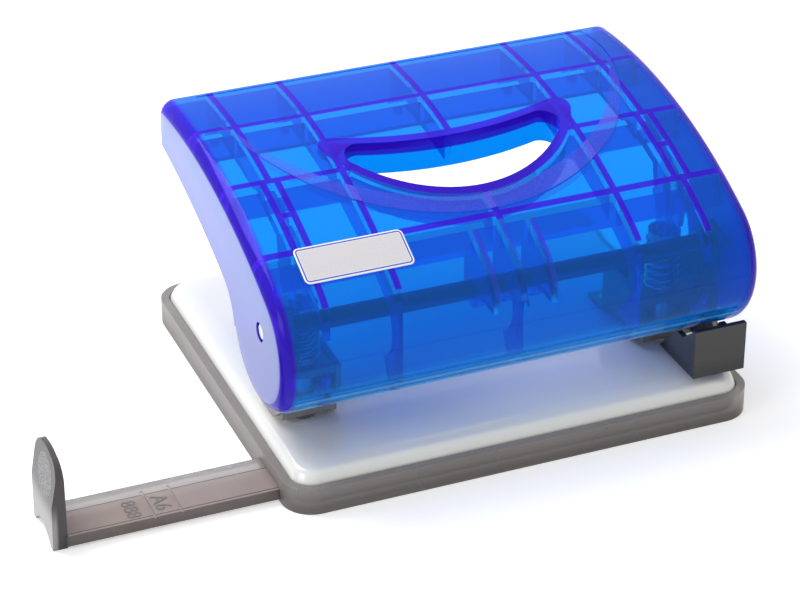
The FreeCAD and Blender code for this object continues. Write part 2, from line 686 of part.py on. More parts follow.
def punch_pin(side):
    """Hardened punch with a flat head, a groove for its clip and a notched cutting end."""
    x = side * PUNCH_X
    tip = PLATE_HEIGHT + PUNCH_REST
    pin = upright(HOLE_RADIUS, x, PUNCH_Y, tip, HEAD_TOP)
    pin = pin.fuse(upright(HEAD_RADIUS, x, PUNCH_Y, HEAD_BOTTOM, HEAD_TOP))
    notch_depth = 1.0
    notch = polygon([(PUNCH_Y - HOLE_RADIUS, tip - 0.01), (PUNCH_Y, tip + notch_depth),
                     (PUNCH_Y + HOLE_RADIUS, tip - 0.01)], x - HOLE_RADIUS - 1, x + HOLE_RADIUS + 1)
    groove_bottom = clip_top() - CLIP_THICKNESS - SEATED_GAP
    groove = upright(HOLE_RADIUS + 1, x, PUNCH_Y, groove_bottom, clip_top() + SEATED_GAP)
    groove = groove.cut(upright(HOLE_RADIUS - 0.5, x, PUNCH_Y, 0, REACH))
    return pin.cut(notch).cut(groove).removeSplitter()


def punch_clip(side):
    """Open retaining ring in the punch's groove."""
    x = side * PUNCH_X
    low = clip_top() - CLIP_THICKNESS
    ring = upright(CLIP_RADIUS, x, PUNCH_Y, low, clip_top())
    ring = ring.cut(upright(HOLE_RADIUS - 0.5 + SEATED_GAP, x, PUNCH_Y, 0, REACH))
    mouth = box(x - 1.6, x + 1.6, PUNCH_Y - REACH, PUNCH_Y, 0, REACH)
    return ring.cut(mouth)


def punch_spring(side):
    """Return spring between the punch guide and the punch's head."""
    clear = SPRING_WIRE / 2 + SEATED_GAP
    low = GUIDE_TOP + clear
    length = HEAD_BOTTOM - GUIDE_TOP - 2 * clear
    path = Part.makeHelix(length / SPRING_TURNS, length, SPRING_RADIUS)
    path.translate(vec(side * PUNCH_X, PUNCH_Y, low))
    start = path.Edges[0].valueAt(path.Edges[0].FirstParameter)
    heading = path.Edges[0].tangentAt(path.Edges[0].FirstParameter)
    section = Part.Wire([Part.Circle(start, heading, SPRING_WIRE / 2).toShape()])
    return Part.Wire(path.Edges).makePipeShell([section], True, True)


def die(side):
    """Hardened bush in the base plate that the punch shears against."""
    x = side * PUNCH_X
    bush = upright(DIE_RADIUS, x, PUNCH_Y, PLATE_HEIGHT - DIE_LENGTH, PLATE_HEIGHT)
    return bush.cut(upright(HOLE_RADIUS + RUNNING_FIT, x, PUNCH_Y, 0, REACH))


# ---------------------------------------------------------------- hinge rod

def hinge_rod():
    """Steel rod through both cheeks and both brackets, with chamfered ends."""
    half = LEVER_HALF - 0.3
    chamfer = 0.5
    body = across(ROD_RADIUS, -half + chamfer, half - chamfer, HINGE_Y, HINGE_HEIGHT)
    ends = []
    for side in (-1, 1):
        base = vec(side * (half - chamfer), HINGE_Y, HINGE_HEIGHT)
        ends.append(Part.makeCone(ROD_RADIUS, ROD_RADIUS - chamfer, chamfer, base, vec(side, 0, 0)))
    return body.multiFuse(ends).removeSplitter()


def rod_washers():
    """Push-on washers on the rod, outside the two brackets."""
    washers = []
    for side in (-1, 1):
        inner = side * (PUNCH_X + BRACKET_OUTER_HALF)
        outer = inner + side * WASHER_THICKNESS
        ring = across(WASHER_RADIUS, min(inner, outer), max(inner, outer), HINGE_Y, HINGE_HEIGHT)
        washers.append(ring.cut(across(ROD_RADIUS + SEATED_GAP, -REACH, REACH, HINGE_Y, HINGE_HEIGHT)))
    return Part.makeCompound(washers)


# ---------------------------------------------------------------- handle lock

def lip_radius(clearance):
    """Radius that the lower edge of the barrel sweeps round the hinge."""
    corner = lip_corner(0.0)
    return math.hypot(corner.y - HINGE_Y, corner.z - HINGE_HEIGHT) + clearance


def lock_top():
    """Top of the catch's face, just under the barrel's lip as it swings past."""
    back = FRONT + LOCK_SETBACK + LOCK_SHEET
    return HINGE_HEIGHT - math.sqrt(lip_radius(LOCK_LIP_GAP) ** 2 - (HINGE_Y - back) ** 2)


def lock_rivet_place():
    return HINGE_Y - 2.5, SLOT_TOP + 2.1


def lock_arm_x():
    """Inner side of the right arm, beside the right bracket."""
    return PUNCH_X + BRACKET_OUTER_HALF + LOCK_SIDE_GAP


def handle_lock():
    """Folded catch: a push face with two arms; the right arm slides on the bracket's rivet."""
    face_y = FRONT + LOCK_SETBACK
    back_y = face_y + LOCK_SHEET
    top = lock_top()
    crest = SLOT_TOP + 7.1
    end = face_y + LOCK_ARM
    arms = []
    for x in (LOCK_LEFT, lock_arm_x()):
        arms.append(polygon([(face_y, SLOT_TOP), (end, SLOT_TOP), (end - 7.2, crest),
                             (back_y + 4.1, crest), (back_y, top - 0.5), (face_y, top - 0.5)],
                            x, x + LOCK_SHEET))
    face = box(LOCK_LEFT, LOCK_LEFT + LOCK_WIDTH, face_y, back_y, SLOT_TOP, top)
    catch = face.multiFuse(arms)
    y, z = lock_rivet_place()
    wide = LOCK_RIVET_RADIUS + RUNNING_FIT
    x0 = lock_arm_x()
    slot = box(x0, x0 + LOCK_SHEET, y - LOCK_TRAVEL, y, z - wide, z + wide)
    slot = slot.multiFuse([across(wide, x0, x0 + LOCK_SHEET, y - LOCK_TRAVEL, z),
                           across(wide, x0, x0 + LOCK_SHEET, y, z)])
    return catch.cut(slot).removeSplitter()


def lock_rivet():
    """Shouldered rivet fixed in the right bracket, running in the catch's slot."""
    y, z = lock_rivet_place()
    x0 = PUNCH_X + BRACKET_OUTER_HALF - BRACKET_SHEET
    head = lock_arm_x() + LOCK_SHEET + RUNNING_FIT
    shank = across(LOCK_RIVET_RADIUS, x0, head, y, z)
    return shank.fuse(across(LOCK_RIVET_HEAD, head, head + LOCK_RIVET_HEAD_HEIGHT, y, z)).removeSplitter()


# ---------------------------------------------------------------- paper guide

def paper_guide():
    """Flat bar with engraved lines, a stop nib on top and an upright thumb tab."""
    inner = BAR_PULLED_OUT
    face = inner - BAR_LENGTH
    bar = box(face - 0.5, inner, BAR_Y, BAR_Y + BAR_WIDTH, BAR_LIFT, BAR_TOP)
    for mark in MARKS:
        x = face + mark
        bar = bar.cut(box(x - MARK_WIDTH / 2, x + MARK_WIDTH / 2, BAR_Y, BAR_Y + BAR_WIDTH * 0.8,
                          BAR_TOP - MARK_DEPTH, REACH))
    nib_y = BAR_Y + BAR_WIDTH / 2
    nib = box(inner - NIB_LENGTH, inner, nib_y - NIB_WIDTH / 2, nib_y + NIB_WIDTH / 2,
              BAR_TOP - 0.5, BAR_TOP + NIB_HEIGHT)
    return bar.multiFuse([nib, guide_tab(face)]).removeSplitter()


def guide_tab(face):
    """Thumb tab: arched foot, rounded top, its outer face turned in towards the top."""
    foot_front = FRONT + TAB_FRONT
    foot_rear = foot_front + TAB_WIDTH
    front = foot_front - TAB_LEAN
    rear = foot_rear - TAB_REAR_LEAN
    rise = TAB_HEIGHT - TAB_SHOULDER
    a = vec(0, foot_front, 0)
    toe = vec(0, foot_front + TAB_TOE, 0)
    arch = vec(0, (foot_front + foot_rear) / 2, TAB_ARCH)
    heel = vec(0, foot_rear - TAB_TOE, 0)
    b = vec(0, foot_rear, 0)
    c = vec(0, rear, TAB_SHOULDER)
    d = vec(0, rear - rise, TAB_HEIGHT - TAB_TOP_SAG)
    e = vec(0, front + rise, TAB_HEIGHT - TAB_TOP_SAG)
    g = vec(0, front, TAB_SHOULDER)
    bend = rise * (1 - math.sqrt(0.5))
    rear_bend = vec(0, rear - bend, TAB_HEIGHT - TAB_TOP_SAG - bend)
    front_bend = vec(0, front + bend, TAB_HEIGHT - TAB_TOP_SAG - bend)
    peak = vec(0, (front + rear) / 2, TAB_HEIGHT)
    edges = [line(a, toe), arc(toe, arch, heel), line(heel, b), line(b, c), arc(c, rear_bend, d),
             arc(d, peak, e), arc(e, front_bend, g), line(g, a)]
    tab = profile(edges, face - TAB_THICKNESS, face)
    outside = face - TAB_THICKNESS
    top_inside = face - TAB_BACK_LEAN
    top_outside = top_inside - TAB_TOP_THICKNESS
    sheet = Part.Face(Part.makePolygon([
        vec(outside, 0, 0), vec(face, 0, 0), vec(top_inside, 0, TAB_HEIGHT), vec(top_outside, 0, TAB_HEIGHT),
        vec(outside, 0, PAD_START), vec(outside, 0, 0)]))
    sheet = sheet.extrude(vec(0, -REACH, 0))
    return tab.common(sheet)


save(chip_tray(), "chip_tray")
save(base_plate(), "base_plate")
save(paper_guide(), "paper_guide")
save(lever_handle(), "lever_handle")
save(label_plate(), "label_plate")
save(hinge_rod(), "hinge_rod")
save(rod_washers(), "rod_washers")
save(handle_lock(), "handle_lock")
save(lock_rivet(), "lock_rivet")
for side_name, side in (("left", -1), ("right", 1)):
    save(bracket(side), side_name + "_bracket")
    save(bracket_rivets(side), side_name + "_bracket_rivets")
    save(die(side), side_name + "_die")
    save(punch_guide(side), side_name + "_punch_guide")
    save(punch_pin(side), side_name + "_punch_pin")
    save(punch_clip(side), side_name + "_punch_clip")
    save(punch_spring(side), side_name + "_punch_spring")
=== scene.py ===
import math

import bmesh
import bpy
import numpy as np
from mathutils import Matrix, Vector

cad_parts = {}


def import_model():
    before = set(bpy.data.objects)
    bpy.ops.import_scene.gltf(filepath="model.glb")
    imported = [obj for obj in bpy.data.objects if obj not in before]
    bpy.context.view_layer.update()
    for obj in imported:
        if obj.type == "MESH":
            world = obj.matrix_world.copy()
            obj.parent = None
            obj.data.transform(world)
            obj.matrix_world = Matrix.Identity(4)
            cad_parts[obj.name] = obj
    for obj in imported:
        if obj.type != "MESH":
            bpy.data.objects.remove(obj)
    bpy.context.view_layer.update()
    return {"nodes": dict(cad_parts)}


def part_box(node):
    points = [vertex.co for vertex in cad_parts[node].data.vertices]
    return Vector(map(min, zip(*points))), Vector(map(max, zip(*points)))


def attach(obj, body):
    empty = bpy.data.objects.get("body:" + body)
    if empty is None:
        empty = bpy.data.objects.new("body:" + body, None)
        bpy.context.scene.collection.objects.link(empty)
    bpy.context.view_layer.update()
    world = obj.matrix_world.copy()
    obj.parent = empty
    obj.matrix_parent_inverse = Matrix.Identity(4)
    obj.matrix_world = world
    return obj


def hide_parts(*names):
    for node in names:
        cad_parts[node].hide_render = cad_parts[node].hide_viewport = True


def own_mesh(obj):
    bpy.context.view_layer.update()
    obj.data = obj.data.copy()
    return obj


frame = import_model()


# ---------------------------------------------------------------- desk, light and camera
# The punch stands on a plain white desk under a wide soft light, with one large soft lamp over
# its rear and a weaker one at the left. The desk keeps the punch's shadow.

def paint(name, colour, roughness=0.5, metallic=0.0):
    """A new Principled material with plain values; gives the material, its tree and its shader."""
    mat = bpy.data.materials.new(name)
    mat.use_nodes = True
    tree = mat.node_tree
    shader = tree.nodes["Principled BSDF"]
    shader.inputs["Base Color"].default_value = (*colour, 1.0)
    shader.inputs["Roughness"].default_value = roughness
    shader.inputs["Metallic"].default_value = metallic
    return mat, tree, shader


def seen_rays(tree):
    """1 for rays from the eye, off gloss and through clear plastic; 0 for light that spreads."""
    path = tree.nodes.new("ShaderNodeLightPath")
    total = path.outputs["Is Camera Ray"]
    for ray in ("Is Glossy Ray", "Is Transmission Ray"):
        add = tree.nodes.new("ShaderNodeMath")
        add.operation = "MAXIMUM"
        tree.links.new(total, add.inputs[0])
        tree.links.new(path.outputs[ray], add.inputs[1])
        total = add.outputs[0]
    return total


desk_half = 3.0
desk_glow = 0.42
desk_corners = [(side_x * desk_half, side_y * desk_half, 0)
                for side_x, side_y in ((-1, -1), (1, -1), (1, 1), (-1, 1))]
desk_mesh = bpy.data.meshes.new("desk")
desk_mesh.from_pydata(desk_corners, [], [(0, 1, 2, 3)])
desk = bpy.data.objects.new("desk", desk_mesh)
bpy.context.collection.objects.link(desk)
desk_paint, tree, shader = paint("white_desk", (0.86, 0.86, 0.86), 0.7)
shader.inputs["Specular IOR Level"].default_value = 0.0
glow = tree.nodes.new("ShaderNodeMath")
glow.operation = "MULTIPLY"
glow.inputs[1].default_value = desk_glow
tree.links.new(seen_rays(tree), glow.inputs[0])
shader.inputs["Emission Color"].default_value = (1, 1, 1, 1)
tree.links.new(glow.outputs[0], shader.inputs["Emission Strength"])
desk_mesh.materials.append(desk_paint)

world = bpy.data.worlds.new("soft_white_room")
bpy.context.scene.world = world
world.use_nodes = True
tree = world.node_tree
room = tree.nodes["Background"]
room.inputs["Color"].default_value = (1, 1, 1, 1)
level = tree.nodes.new("ShaderNodeMapRange")
light_level, seen_level = 0.60, 1.0
level.inputs["To Min"].default_value = light_level
level.inputs["To Max"].default_value = seen_level
tree.links.new(seen_rays(tree), level.inputs["Value"])
tree.links.new(level.outputs[0], room.inputs["Strength"])


def soft_lamp(name, place, aim, size, watts):
    """A square area lamp at place, turned so that it faces aim."""
    lamp = bpy.data.lights.new(name, "AREA")
    lamp.size = size
    lamp.energy = watts
    obj = bpy.data.objects.new(name, lamp)
    bpy.context.collection.objects.link(obj)
    obj.location = place
    obj.rotation_euler = (Vector(aim) - Vector(place)).to_track_quat("-Z", "Y").to_euler()


soft_lamp("window_lamp", (-0.42, 0.52, 0.95), (0, 0, 0.02), 0.7, 8.2)
soft_lamp("fill_lamp", (-0.85, -0.25, 0.50), (0, 0, 0.02), 0.4, 1.7)

camera_place = Vector((-0.1972, -0.4580, 0.3019))
view_azimuth = math.radians(22.19)
view_elevation = math.radians(29.79)
view_line = Vector((
    math.cos(view_elevation) * math.sin(view_azimuth),
    math.cos(view_elevation) * math.cos(view_azimuth),
    -math.sin(view_elevation),
))
lens = bpy.data.cameras.new("camera")
lens.lens = 122.5
lens.sensor_width = 36.0
lens.clip_start = 0.01
camera = bpy.data.objects.new("camera", lens)
bpy.context.collection.objects.link(camera)
camera.location = camera_place
camera.rotation_euler = view_line.to_track_quat("-Z", "Y").to_euler()
bpy.context.scene.camera = camera
bpy.context.scene.view_settings.view_transform = "Standard"


# ---------------------------------------------------------------- chip tray
# Shallow tray of smoky clear plastic under the whole base, moulded in one piece with the rim
# that the base plate stands in and the tunnel that the paper guide runs in.

def maths(tree, operation, *values):
    """One Math node fed with sockets or numbers; gives its output."""
    node = tree.nodes.new("ShaderNodeMath")
    node.operation = operation
    for spot, value in zip(node.inputs, values):
        if isinstance(value, bpy.types.NodeSocket):
            tree.links.new(value, spot)
        else:
            spot.default_value = value
    return node.outputs[0]


def fade(tree, value, start, end, low=0.0, high=1.0):
    """Goes smoothly from low to high while value goes from start to end."""
    node = tree.nodes.new("ShaderNodeMapRange")
    node.interpolation_type = "SMOOTHSTEP"
    tree.links.new(value, node.inputs["Value"])
    for name, number in (("From Min", start), ("From Max", end), ("To Min", low), ("To Max", high)):
        node.inputs[name].default_value = number
    return node.outputs[0]


def blend_colours(tree, share, first, second):
    """first where share is 0, second where it is 1; each is a socket or a plain colour."""
    node = tree.nodes.new("ShaderNodeMix")
    node.data_type = "RGBA"
    tree.links.new(share, node.inputs["Factor"])
    for spot, value in ((node.inputs["A"], first), (node.inputs["B"], second)):
        if isinstance(value, bpy.types.NodeSocket):
            tree.links.new(value, spot)
        else:
            spot.default_value = (*value, 1.0)
    return node.outputs["Result"]


def place_in_mm(tree):
    """The object coordinate in millimetres: the vector, then its x, y and z."""
    where = tree.nodes.new("ShaderNodeTexCoord")
    scale = tree.nodes.new("ShaderNodeVectorMath")
    scale.operation = "SCALE"
    scale.inputs["Scale"].default_value = 1000.0
    tree.links.new(where.outputs["Object"], scale.inputs[0])
    split = tree.nodes.new("ShaderNodeSeparateXYZ")
    tree.links.new(scale.outputs[0], split.inputs[0])
    return scale.outputs[0], split.outputs[0], split.outputs[1], split.outputs[2]


def grain(tree, vector, per_mm, detail=2.0):
    """Even noise from 0 to 1 with about per_mm lumps to the millimetre."""
    node = tree.nodes.new("ShaderNodeTexNoise")
    node.inputs["Scale"].default_value = per_mm
    node.inputs["Detail"].default_value = detail
    tree.links.new(vector, node.inputs["Vector"])
    return node.outputs["Fac"]


def relief(tree, shader, height, depth_mm, strength=1.0):
    """Bumps the shader's normal by height, which counts depth_mm millimetres from 0 to 1."""
    node = tree.nodes.new("ShaderNodeBump")
    node.inputs["Strength"].default_value = strength
    node.inputs["Distance"].default_value = depth_mm * 0.001
    tree.links.new(height, node.inputs["Height"])
    tree.links.new(node.outputs[0], shader.inputs["Normal"])


def eased_copy(node, width, body, material, steps=3, angle=32.0):
    """A copy of a CAD node with its flat faces joined and its edges rounded to width."""
    mesh = frame["nodes"][node].data.copy()
    mesh.name = node + "_eased"
    shape = bmesh.new()
    shape.from_mesh(mesh)
    bmesh.ops.remove_doubles(shape, verts=shape.verts, dist=1e-6)
    bmesh.ops.dissolve_limit(shape, angle_limit=math.radians(0.4), verts=shape.verts, edges=shape.edges)
    shape.to_mesh(mesh)
    shape.free()
    if "custom_normal" in mesh.attributes:
        mesh.attributes.remove(mesh.attributes["custom_normal"])
    mesh.shade_smooth()
    mesh.set_sharp_from_angle(angle=math.radians(angle))
    mesh.materials.clear()
    mesh.materials.append(material)
    obj = bpy.data.objects.new(node + "_eased", mesh)
    bpy.context.collection.objects.link(obj)
    if width > 0:
        bevel = obj.modifiers.new("eased_edges", "BEVEL")
        bevel.width = width
        bevel.segments = steps
        bevel.limit_method = "ANGLE"
        bevel.angle_limit = math.radians(angle)
        bevel.harden_normals = True
    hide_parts(node)
    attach(obj, body)
    return obj


smoky, tree, shader = paint("smoky_tray_plastic", (0.30, 0.28, 0.27), 0.3)
shader.inputs["Transmission Weight"].default_value = 0.35
shader.inputs["IOR"].default_value = 1.3
vector, x, y, z = place_in_mm(tree)
clouds = grain(tree, vector, 0.04, 1.0)
# The rim's colour is painted darker towards its bottom and lighter towards its top: painted shade low on
# the face and painted light along the top. The clouds are the plastic's own uneven tone.
painted_light_up_the_rim = fade(tree, z, 0.5, 5.6)
face_colour = blend_colours(tree, painted_light_up_the_rim, (0.135, 0.120, 0.115), (0.36, 0.33, 0.315))
cloudy_colour = blend_colours(tree, painted_light_up_the_rim, (0.155, 0.140, 0.132), (0.42, 0.39, 0.375))
tree.links.new(blend_colours(tree, clouds, face_colour, cloudy_colour), shader.inputs["Base Color"])
tree.links.new(fade(tree, clouds, 0.3, 0.75, 0.26, 0.34), shader.inputs["Roughness"])
eased_copy("chip_tray", 0.0007, "tray", smoky, steps=4)


# ---------------------------------------------------------------- base plate
# Pressed from one sheet of steel and powder coated white: a steep wall that stands inside the
# tray's rim, a gently sloping border and a flat top with a hole for each die.

def rounded_ring(half_x, half_y, radius, height, steps):
    """Rectangle with round corners at one height: a quarter circle about each corner's centre."""
    turn = np.linspace(0.0, math.pi / 2, steps)
    angle = np.concatenate([turn + quarter * math.pi / 2 for quarter in range(4)])
    sign_x = np.repeat([1.0, -1.0, -1.0, 1.0], steps)
    sign_y = np.repeat([1.0, 1.0, -1.0, -1.0], steps)
    xs = sign_x * (half_x - radius) + radius * np.cos(angle)
    ys = sign_y * (half_y - radius) + radius * np.sin(angle)
    return np.stack([xs, ys, np.full_like(xs, height)], axis=1)


def softened(points, reaches, steps=6):
    """Line of points with its corners rounded: each corner becomes the quadratic curve that
    starts reach before it, ends reach after it and has the corner as its control point."""
    points = np.array(points, dtype=float)
    line = [points[:1]]
    share = np.linspace(0.0, 1.0, steps)[:, None]
    for earlier, corner, later, reach in zip(points[:-2], points[1:-1], points[2:], reaches):
        start = corner + (earlier - corner) / np.linalg.norm(earlier - corner) * reach
        end = corner + (later - corner) / np.linalg.norm(later - corner) * reach
        line.append((1 - share) ** 2 * start + 2 * share * (1 - share) * corner + share ** 2 * end)
    line.append(points[-1:])
    return np.concatenate(line)


sharp_edge = math.radians(50.0)


def skin_mesh(name, grid, material):
    """Closed mesh over a grid of points (rows, columns, 3): quads between rows that close on
    themselves, and one flat face over the first and over the last row."""
    rows, columns = grid.shape[:2]
    i, j = np.meshgrid(np.arange(rows - 1), np.arange(columns), indexing="ij")
    k = (j + 1) % columns
    here, above = i * columns, (i + 1) * columns
    faces = np.stack([here + j, here + k, above + k, above + j], axis=-1).reshape(-1, 4).tolist()
    faces.append(list(range(columns - 1, -1, -1)))
    faces.append(list(range((rows - 1) * columns, rows * columns)))
    mesh = bpy.data.meshes.new(name)
    mesh.from_pydata(grid.reshape(-1, 3).tolist(), [], faces)
    mesh.materials.append(material)
    mesh.shade_smooth()
    mesh.set_sharp_from_angle(angle=sharp_edge)
    obj = bpy.data.objects.new(name, mesh)
    bpy.context.collection.objects.link(obj)
    return obj


def cut_away(obj, tool):
    """Takes the closed mesh tool out of obj for good, then deletes tool."""
    cut = obj.modifiers.new("cut", "BOOLEAN")
    cut.operation = "DIFFERENCE"
    cut.solver = "EXACT"
    cut.object = tool
    bpy.context.view_layer.update()
    done = bpy.data.meshes.new_from_object(obj.evaluated_get(bpy.context.evaluated_depsgraph_get()))
    obj.modifiers.remove(cut)
    obj.data = done
    bpy.data.objects.remove(tool)
    done.shade_smooth()
    done.set_sharp_from_angle(angle=sharp_edge)


plate_low, plate_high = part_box("base_plate")
plate_half_x, plate_half_y = plate_high.x, plate_high.y
plate_bottom, plate_top = plate_low.z, plate_high.z
plate_sheet = 0.0012
wall_foot, wall_run, wall_top = 0.0058, 0.0008, 0.0082
border_end, flat_end = 0.0040, 0.0105
foot_corner, wall_corner, flat_corner = 0.0045, 0.0053, 0.0070

outside = softened([
    (0, plate_bottom),
    (0, wall_foot),
    (wall_run, wall_top),
    (border_end, plate_top),
    (flat_end, plate_top),
], (0.0006, 0.0011, 0.0016))
inside = softened([
    (plate_sheet, plate_bottom),
    (plate_sheet, wall_foot - plate_sheet / 2),
    (plate_sheet + wall_run, wall_top - plate_sheet),
    (plate_sheet + border_end, plate_top - plate_sheet),
    (flat_end, plate_top - plate_sheet),
], (0.0005, 0.0007, 0.0012))
rings = []
for inset, height in np.concatenate([inside[::-1], outside]):
    radius = np.interp(inset, (0.0, wall_run, border_end), (foot_corner, wall_corner, flat_corner))
    rings.append(rounded_ring(plate_half_x - inset, plate_half_y - inset, radius, height, 12))
white, tree, shader = paint("white_powder_coat", (0.88, 0.885, 0.855), 0.2)
shader.inputs["Coat Weight"].default_value = 0.6
shader.inputs["Coat Roughness"].default_value = 0.06
vector, x, y, z = place_in_mm(tree)
plate_colour = blend_colours(tree, grain(tree, vector, 0.05), (0.85, 0.855, 0.825), (0.90, 0.905, 0.875))
tree.links.new(plate_colour, shader.inputs["Base Color"])
relief(tree, shader, grain(tree, vector, 0.2, 1.0), 0.03, 0.3)
plate = skin_mesh("base_plate_painted", np.array(rings), white)
die_x, die_y, die_radius = 0.040, -0.0206, 0.00502
below_plate, above_plate = 0.006, 0.0095
around = np.linspace(0, 2 * math.pi, 48, endpoint=False)
for side in (-1, 1):
    hole_x = side * die_x + die_radius * np.cos(around)
    hole_y = die_y + die_radius * np.sin(around)
    tool = [np.stack([hole_x, hole_y, np.full_like(hole_x, height)], axis=1)
            for height in (below_plate, above_plate)]
    cut_away(plate, skin_mesh("die_hole_tool", np.array(tool), white))
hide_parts("base_plate")
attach(plate, "punch_frame")


# ---------------------------------------------------------------- dies and punch guides
# Hardened bushes pressed into the plate and coated with it, which the punches shear against,
# and the die-cast blocks over them that keep each punch upright.

def turned_metal(name, colour, roughness):
    """Bare metal with faint cloudy tarnish in its colour and gloss."""
    mat, tree, shader = paint(name, colour, roughness, 1.0)
    vector, x, y, z = place_in_mm(tree)
    tarnished = tuple(0.86 * c for c in colour)
    clean = fade(tree, grain(tree, vector, 0.5, 4.0), 0.35, 0.7)
    tree.links.new(blend_colours(tree, clean, tarnished, colour), shader.inputs["Base Color"])
    gloss = fade(tree, grain(tree, vector, 2.5, 3.0), 0.3, 0.7, roughness * 0.75, roughness * 1.5)
    tree.links.new(gloss, shader.inputs["Roughness"])
    return mat


bright_steel = turned_metal("bright_turned_steel", (0.66, 0.66, 0.65), 0.2)
# The die-cast blocks get a dark colour that stands in for the shade under the barrel's lip.
dark_casting_for_shade = turned_metal("casting_darkened_as_shade", (0.27, 0.27, 0.29), 0.42)
for side in ("left", "right"):
    eased_copy(side + "_die", 0.00015, "punch_frame", white, 2)
    eased_copy(side + "_punch_guide", 0.0002, "punch_frame", dark_casting_for_shade, 2)


# ---------------------------------------------------------------- brackets and their rivets
# Folded from steel sheet and browned: the tall outer cheek has the hinge eye, the low inner
# cheek holds the punch guide, and the foot is riveted to the plate.

browned_steel = turned_metal("browned_sheet_steel", (0.36, 0.325, 0.30), 0.34)
for side in ("left", "right"):
    eased_copy(side + "_bracket", 0.00025, "punch_frame", browned_steel, 2)
    eased_copy(side + "_bracket_rivets", 0.00015, "punch_frame", bright_steel, 2)


# ---------------------------------------------------------------- punches, clips and springs
# Ground punches with flat heads, stopped on their way up by a clip and pushed up by a spring
# wound from round wire, which gets shorter as the punch goes down.

spring_steel = turned_metal("spring_wire", (0.62, 0.62, 0.64), 0.16)
for side in ("left", "right"):
    eased_copy(side + "_punch_pin", 0.00015, side + "_punch", bright_steel, 2)
    eased_copy(side + "_punch_clip", 0.0001, side + "_punch", spring_steel, 2)
    spring = eased_copy(side + "_punch_spring", 0.0, "punch_frame", spring_steel, angle=60.0)
    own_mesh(spring)


# ---------------------------------------------------------------- hinge rod and washers
# Steel rod through both cheeks of the lever and both brackets, kept in place by two washers
# pushed on outside the brackets. Between its bright ends it is painted dark, as painted shade
# where the lever covers it, with faint cloudy tarnish and a line of painted shade along its top.

rod_steel_with_painted_shade, tree, shader = paint("rod_painted_shade", (0.2, 0.2, 0.2), 0.24, 1.0)
vector, x, y, z = place_in_mm(tree)
# Bright steel only at the ends; between them the rod is painted dark as painted shade.
rod_end = fade(tree, maths(tree, "ABSOLUTE", x), 48.0, 49.0)
tarnish = blend_colours(tree, grain(tree, vector, 0.5, 3.0), (0.16, 0.17, 0.20), (0.24, 0.25, 0.28))
# A narrow band along the rod's top is painted almost black: painted shade. From here on, tarnish also
# holds this line.
painted_shade_line = maths(tree, "MULTIPLY", fade(tree, z, 34.2, 35.6), fade(tree, z, 36.9, 35.9))
tarnish = blend_colours(tree, painted_shade_line, tarnish, (0.012, 0.012, 0.016))
tree.links.new(blend_colours(tree, rod_end, tarnish, (0.66, 0.66, 0.65)), shader.inputs["Base Color"])
eased_copy("hinge_rod", 0.00012, "punch_frame", rod_steel_with_painted_shade, 2)
eased_copy("rod_washers", 0.00012, "punch_frame", spring_steel, 2)


# ---------------------------------------------------------------- lever
# Moulded in one piece from clear blue plastic: a barrel round the hinge rod, a bowed top with
# a smile-shaped finger cut-out in a shallow dish, two flat cheeks and ribs underneath. Thick
# places, such as the roots of the ribs, look violet. The cheeks carry a painted reflection in
# light lavender, and the barrel's front a painted light over its lip and a painted highlight on it.

blue, tree, shader = paint("clear_blue_plastic", (0.02, 0.40, 0.95), 0.12)
shader.inputs["IOR"].default_value = 1.12
shader.inputs["Coat Weight"].default_value = 0.2
shader.inputs["Coat Roughness"].default_value = 0.04
shader.inputs["Coat IOR"].default_value = 1.4
vector, x, y, z = place_in_mm(tree)
from_middle = maths(tree, "ABSOLUTE", x)


# These helpers, also used for the label and the paper guide, add to the tree that is being made.

def less(first, second):
    """first less second."""
    return maths(tree, "SUBTRACT", first, second)


def times(first, second):
    """first times second."""
    return maths(tree, "MULTIPLY", first, second)


def at_least_zero(value):
    """value, or 0 where it is negative."""
    return maths(tree, "MAXIMUM", value, 0.0)


def length_of(across, along):
    """Length of the vector that has these two parts."""
    return maths(tree, "SQRT", maths(tree, "ADD", times(across, across), times(along, along)))


def past(value, limit, soft=0.4):
    """1 where value is above limit, with a soft change that is soft wide."""
    return fade(tree, value, limit - soft / 2, limit + soft / 2)


def before(value, limit, soft=0.4):
    """1 where value is below limit, with a soft change that is soft wide."""
    return fade(tree, value, limit + soft / 2, limit - soft / 2)


def stripe(value, centre, half_width, soft=0.22):
    """1 within half_width of centre, falling to 0 just outside it."""
    return before(maths(tree, "ABSOLUTE", less(value, centre)), half_width, soft)


def union(*shares):
    """The largest of some shares."""
    total = shares[0]
    for share in shares[1:]:
        total = maths(tree, "MAXIMUM", total, share)
    return total


def within(*shares):
    """The product of some shares."""
    total = shares[0]
    for share in shares[1:]:
        total = times(total, share)
    return total


def away_from(centre_y, centre_x=0.0):
    """Distance in plan from the point (centre_x, centre_y), with the left half folded on the right."""
    return length_of(less(from_middle, centre_x), less(y, centre_y))


def below_skin(centre_y, centre_z, radius):
    """How deep under a round skin of that centre and radius, in the side view, the point lies."""
    return less(radius, length_of(less(y, centre_y), less(z, centre_z)))


# All of the lever's places and depths are in millimetres. The skin is two arcs in the side
# view, each given by its centre's y and z and its radius.
top_arc = (20.75, -62.78, 120.6)
barrel_arc = (-27.7, 31.5, 14.6)
wall_depth = 2.05
top_depth = below_skin(*top_arc)
barrel_depth = below_skin(*barrel_arc)
near_top = before(top_depth, wall_depth, 0.2)
on_barrel = union(before(y, -34.4), before(z, 33.0))
near_skin = union(near_top, within(before(barrel_depth, wall_depth, 0.2), on_barrel))

hinge_y = -29.0
rib_half = 0.72
long_rib_x, long_rib_front = 25.7, -37.0
clip_rear = -27.2
middle_rib = within(stripe(from_middle, 0.0, rib_half), past(y, clip_rear, 0.8))
long_ribs = within(union(stripe(from_middle, long_rib_x, rib_half), middle_rib), past(y, long_rib_front))

